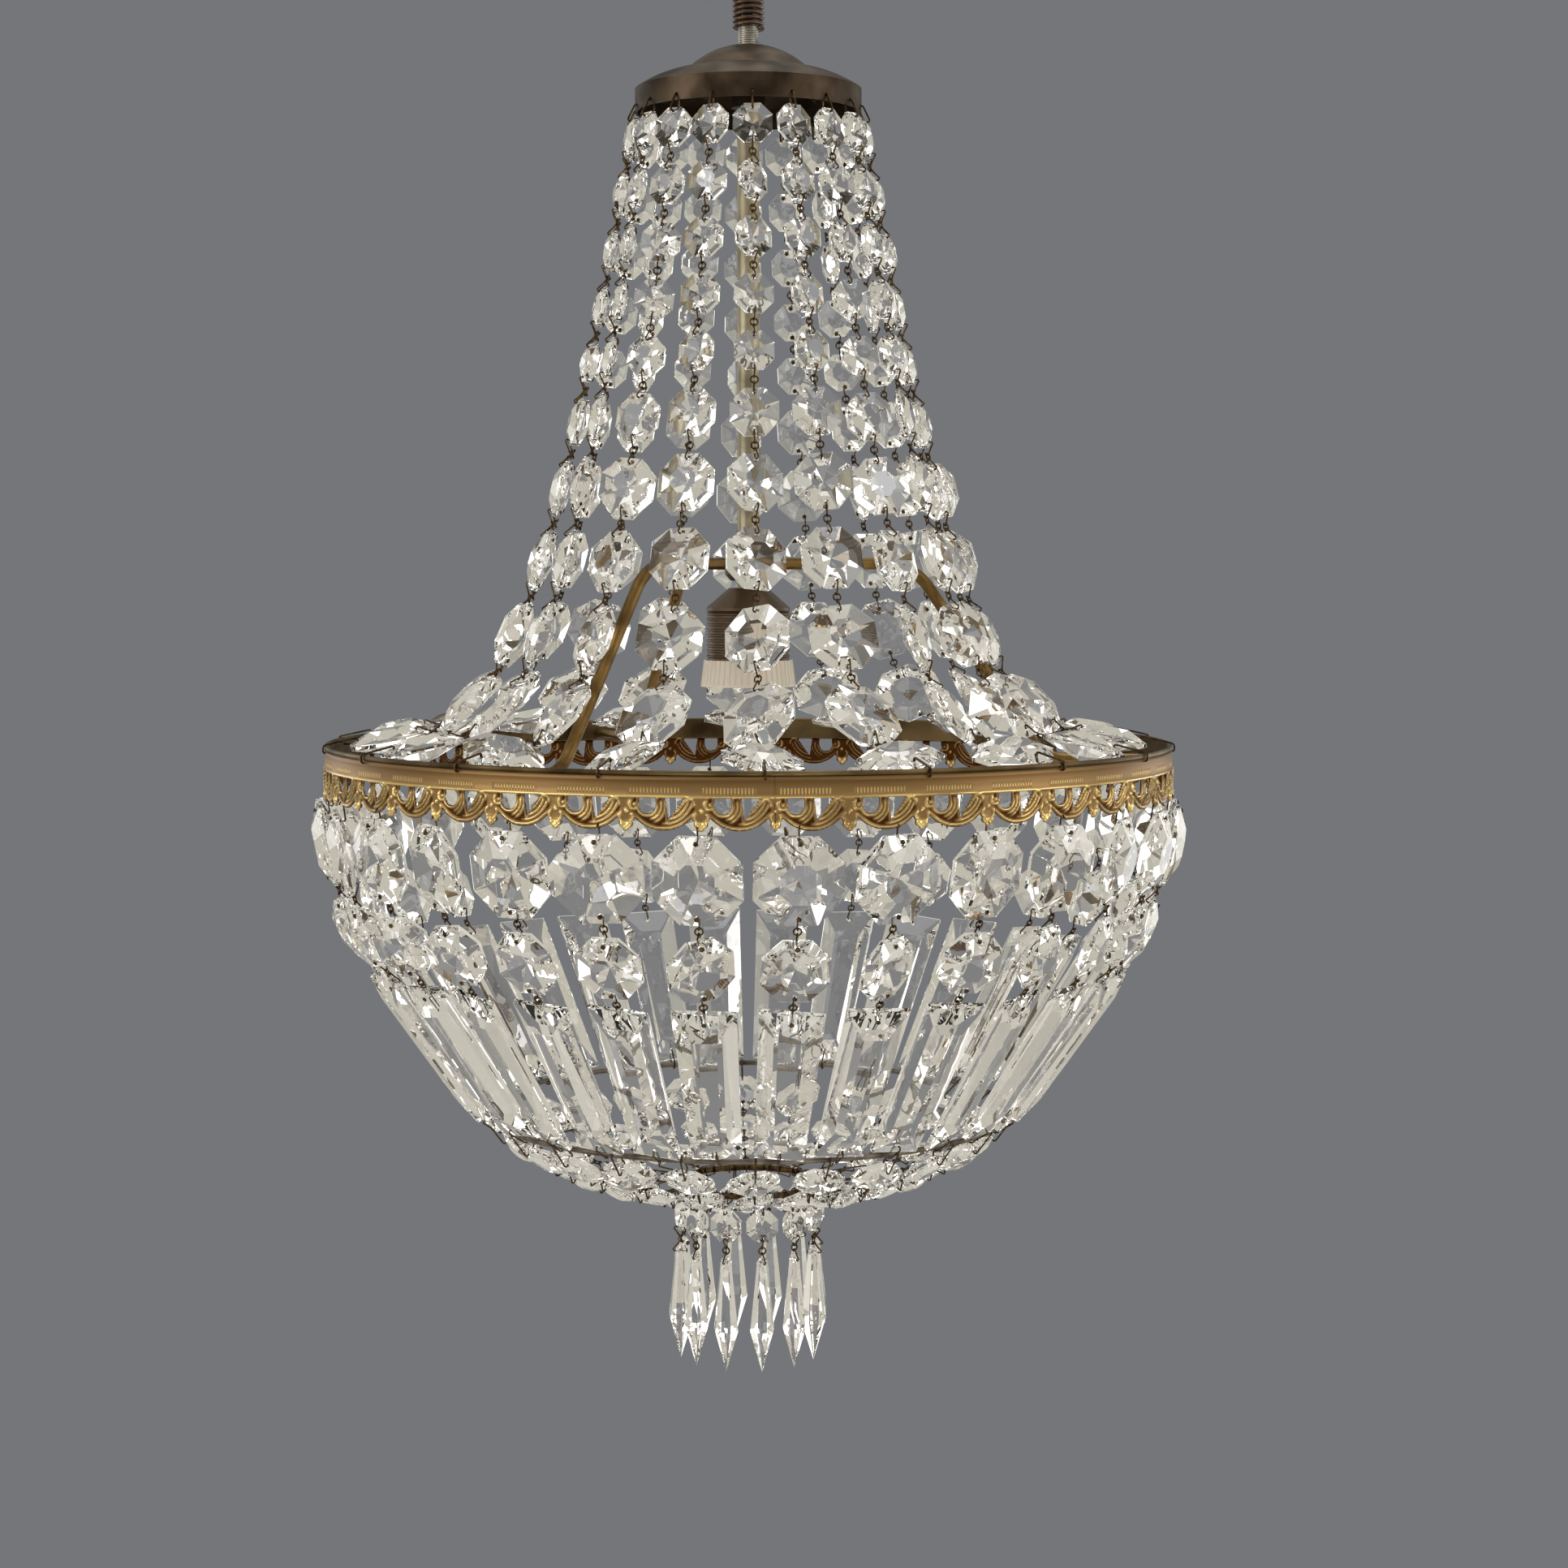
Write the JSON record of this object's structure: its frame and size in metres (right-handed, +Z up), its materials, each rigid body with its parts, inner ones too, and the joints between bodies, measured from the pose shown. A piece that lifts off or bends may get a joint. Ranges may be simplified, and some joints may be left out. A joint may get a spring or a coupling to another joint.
{
  "type": "crystal basket chandelier",
  "caption": "Basket chandelier with strands of cut octagons from a metal cap to an openwork band, a crystal basket and dish below, spear drops, and one lampholder inside on three arms.",
  "frame": {"origin": "centre of the top end of the threaded nipple", "axes": "+Z up along the stem, -Y to the front, +X to the right as seen from the front"},
  "size_m": [0.4136, 0.412, 0.6726],
  "materials": {
    "crystal": "cut and polished clear crystal",
    "pin_wire": "dark tarnished brass wire",
    "bronze": "dark bronze patina, satin",
    "pale_brass": "pale worn brass, satin",
    "brass_rod": "aged brass, satin",
    "gilt_brass": "stamped gilt brass, tarnished in the hollows",
    "nickel_steel": "plated steel thread",
    "copper_wire": "copper-brown glossy wire",
    "holder_brown": "dark brown lacquered metal, satin",
    "ivory": "ivory moulded plastic",
    "porcelain": "unglazed white porcelain",
    "brass_shell": "drawn brass"
  },
  "bodies": {
    "frame": {"arm_hub": "bronze", "band_hoop": "gilt_brass", "basket_large_octagons": "crystal", "basket_links": "pin_wire", "basket_plaques": "crystal", "basket_second_octagons": "crystal", "bottom_ring": "pin_wire", "cap_nut": "bronze", "cap_washer": "bronze", "centre_contact": "brass_shell", "dish_inner_octagons": "crystal", "dish_links": "pin_wire", "dish_outer_octagons": "crystal", "gallery_strip": "gilt_brass", "lampholder_body": "holder_brown", "lampholder_cap": "bronze", "lower_wire_ring": "pin_wire", "screw_shell": "brass_shell", "shade_ring": "ivory", "socket_core": "porcelain", "stem_coupler": "bronze", "stem_tube": "pale_brass", "support_arms": "brass_rod", "tent_hooks": "pin_wire", "tent_ledge_octagons": "crystal", "tent_links": "pin_wire", "tent_lower_octagons": "crystal", "tent_middle_octagons": "crystal", "tent_upper_octagons": "crystal", "threaded_nipple": "nickel_steel", "top_cap": "bronze", "wire_coil": "copper_wire"},
    "tassel_bead_01": {"tassel_bead_01": "crystal"},
    "tassel_spear_01": {"tassel_spear_01": "crystal"},
    "tassel_bead_02": {"tassel_bead_02": "crystal"},
    "tassel_spear_02": {"tassel_spear_02": "crystal"},
    "tassel_bead_03": {"tassel_bead_03": "crystal"},
    "tassel_spear_03": {"tassel_spear_03": "crystal"},
    "tassel_bead_04": {"tassel_bead_04": "crystal"},
    "tassel_spear_04": {"tassel_spear_04": "crystal"},
    "tassel_bead_05": {"tassel_bead_05": "crystal"},
    "tassel_spear_05": {"tassel_spear_05": "crystal"},
    "tassel_bead_06": {"tassel_bead_06": "crystal"},
    "tassel_spear_06": {"tassel_spear_06": "crystal"},
    "tassel_bead_07": {"tassel_bead_07": "crystal"},
    "tassel_spear_07": {"tassel_spear_07": "crystal"},
    "tassel_bead_08": {"tassel_bead_08": "crystal"},
    "tassel_spear_08": {"tassel_spear_08": "crystal"},
    "tassel_bead_09": {"tassel_bead_09": "crystal"},
    "tassel_spear_09": {"tassel_spear_09": "crystal"},
    "tassel_bead_10": {"tassel_bead_10": "crystal"},
    "tassel_spear_10": {"tassel_spear_10": "crystal"},
    "tassel_bead_11": {"tassel_bead_11": "crystal"},
    "tassel_spear_11": {"tassel_spear_11": "crystal"},
    "tassel_bead_12": {"tassel_bead_12": "crystal"},
    "tassel_spear_12": {"tassel_spear_12": "crystal"}
  },
  "joints": [
    {"name": "tassel_swing_01", "type": "hinge", "parent": "frame", "child": "tassel_bead_01", "pos_m": [0.00658, -0.03234, -0.58841], "axis": [-0.9799, -0.1994, 0], "range_deg": [-5, 35]},
    {"name": "spear_swing_01", "type": "hinge", "parent": "tassel_bead_01", "child": "tassel_spear_01", "pos_m": [0.00658, -0.03234, -0.61626], "axis": [-0.9799, -0.1994, 0], "range_deg": [-5, 30]},
    {"name": "tassel_swing_02", "type": "hinge", "parent": "frame", "child": "tassel_bead_02", "pos_m": [0.02187, -0.02472, -0.58841], "axis": [-0.749, -0.6626, 0], "range_deg": [-5, 35]},
    {"name": "spear_swing_02", "type": "hinge", "parent": "tassel_bead_02", "child": "tassel_spear_02", "pos_m": [0.02187, -0.02472, -0.61626], "axis": [-0.749, -0.6626, 0], "range_deg": [-5, 30]},
    {"name": "tassel_swing_03", "type": "hinge", "parent": "frame", "child": "tassel_bead_03", "pos_m": [0.0313, -0.01047, -0.58841], "axis": [-0.3173, -0.9483, 0], "range_deg": [-5, 35]},
    {"name": "spear_swing_03", "type": "hinge", "parent": "tassel_bead_03", "child": "tassel_spear_03", "pos_m": [0.0313, -0.01047, -0.61626], "axis": [-0.3173, -0.9483, 0], "range_deg": [-5, 30]},
    {"name": "tassel_swing_04", "type": "hinge", "parent": "frame", "child": "tassel_bead_04", "pos_m": [0.03234, 0.00658, -0.58841], "axis": [0.1994, -0.9799, 0], "range_deg": [-5, 35]},
    {"name": "spear_swing_04", "type": "hinge", "parent": "tassel_bead_04", "child": "tassel_spear_04", "pos_m": [0.03234, 0.00658, -0.61626], "axis": [0.1994, -0.9799, 0], "range_deg": [-5, 30]},
    {"name": "tassel_swing_05", "type": "hinge", "parent": "frame", "child": "tassel_bead_05", "pos_m": [0.02472, 0.02187, -0.58841], "axis": [0.6626, -0.749, 0], "range_deg": [-5, 35]},
    {"name": "spear_swing_05", "type": "hinge", "parent": "tassel_bead_05", "child": "tassel_spear_05", "pos_m": [0.02472, 0.02187, -0.61626], "axis": [0.6626, -0.749, 0], "range_deg": [-5, 30]},
    {"name": "tassel_swing_06", "type": "hinge", "parent": "frame", "child": "tassel_bead_06", "pos_m": [0.01047, 0.0313, -0.58841], "axis": [0.9483, -0.3173, 0], "range_deg": [-5, 35]},
    {"name": "spear_swing_06", "type": "hinge", "parent": "tassel_bead_06", "child": "tassel_spear_06", "pos_m": [0.01047, 0.0313, -0.61626], "axis": [0.9483, -0.3173, 0], "range_deg": [-5, 30]},
    {"name": "tassel_swing_07", "type": "hinge", "parent": "frame", "child": "tassel_bead_07", "pos_m": [-0.00658, 0.03234, -0.58841], "axis": [0.9799, 0.1994, 0], "range_deg": [-5, 35]},
    {"name": "spear_swing_07", "type": "hinge", "parent": "tassel_bead_07", "child": "tassel_spear_07", "pos_m": [-0.00658, 0.03234, -0.61626], "axis": [0.9799, 0.1994, 0], "range_deg": [-5, 30]},
    {"name": "tassel_swing_08", "type": "hinge", "parent": "frame", "child": "tassel_bead_08", "pos_m": [-0.02187, 0.02472, -0.58841], "axis": [0.749, 0.6626, 0], "range_deg": [-5, 35]},
    {"name": "spear_swing_08", "type": "hinge", "parent": "tassel_bead_08", "child": "tassel_spear_08", "pos_m": [-0.02187, 0.02472, -0.61626], "axis": [0.749, 0.6626, 0], "range_deg": [-5, 30]},
    {"name": "tassel_swing_09", "type": "hinge", "parent": "frame", "child": "tassel_bead_09", "pos_m": [-0.0313, 0.01047, -0.58841], "axis": [0.3173, 0.9483, 0], "range_deg": [-5, 35]},
    {"name": "spear_swing_09", "type": "hinge", "parent": "tassel_bead_09", "child": "tassel_spear_09", "pos_m": [-0.0313, 0.01047, -0.61626], "axis": [0.3173, 0.9483, 0], "range_deg": [-5, 30]},
    {"name": "tassel_swing_10", "type": "hinge", "parent": "frame", "child": "tassel_bead_10", "pos_m": [-0.03234, -0.00658, -0.58841], "axis": [-0.1994, 0.9799, 0], "range_deg": [-5, 35]},
    {"name": "spear_swing_10", "type": "hinge", "parent": "tassel_bead_10", "child": "tassel_spear_10", "pos_m": [-0.03234, -0.00658, -0.61626], "axis": [-0.1994, 0.9799, 0], "range_deg": [-5, 30]},
    {"name": "tassel_swing_11", "type": "hinge", "parent": "frame", "child": "tassel_bead_11", "pos_m": [-0.02472, -0.02187, -0.58841], "axis": [-0.6626, 0.749, 0], "range_deg": [-5, 35]},
    {"name": "spear_swing_11", "type": "hinge", "parent": "tassel_bead_11", "child": "tassel_spear_11", "pos_m": [-0.02472, -0.02187, -0.61626], "axis": [-0.6626, 0.749, 0], "range_deg": [-5, 30]},
    {"name": "tassel_swing_12", "type": "hinge", "parent": "frame", "child": "tassel_bead_12", "pos_m": [-0.01047, -0.0313, -0.58841], "axis": [-0.9483, 0.3173, 0], "range_deg": [-5, 35]},
    {"name": "spear_swing_12", "type": "hinge", "parent": "tassel_bead_12", "child": "tassel_spear_12", "pos_m": [-0.01047, -0.0313, -0.61626], "axis": [-0.9483, 0.3173, 0], "range_deg": [-5, 30]}
  ]
}
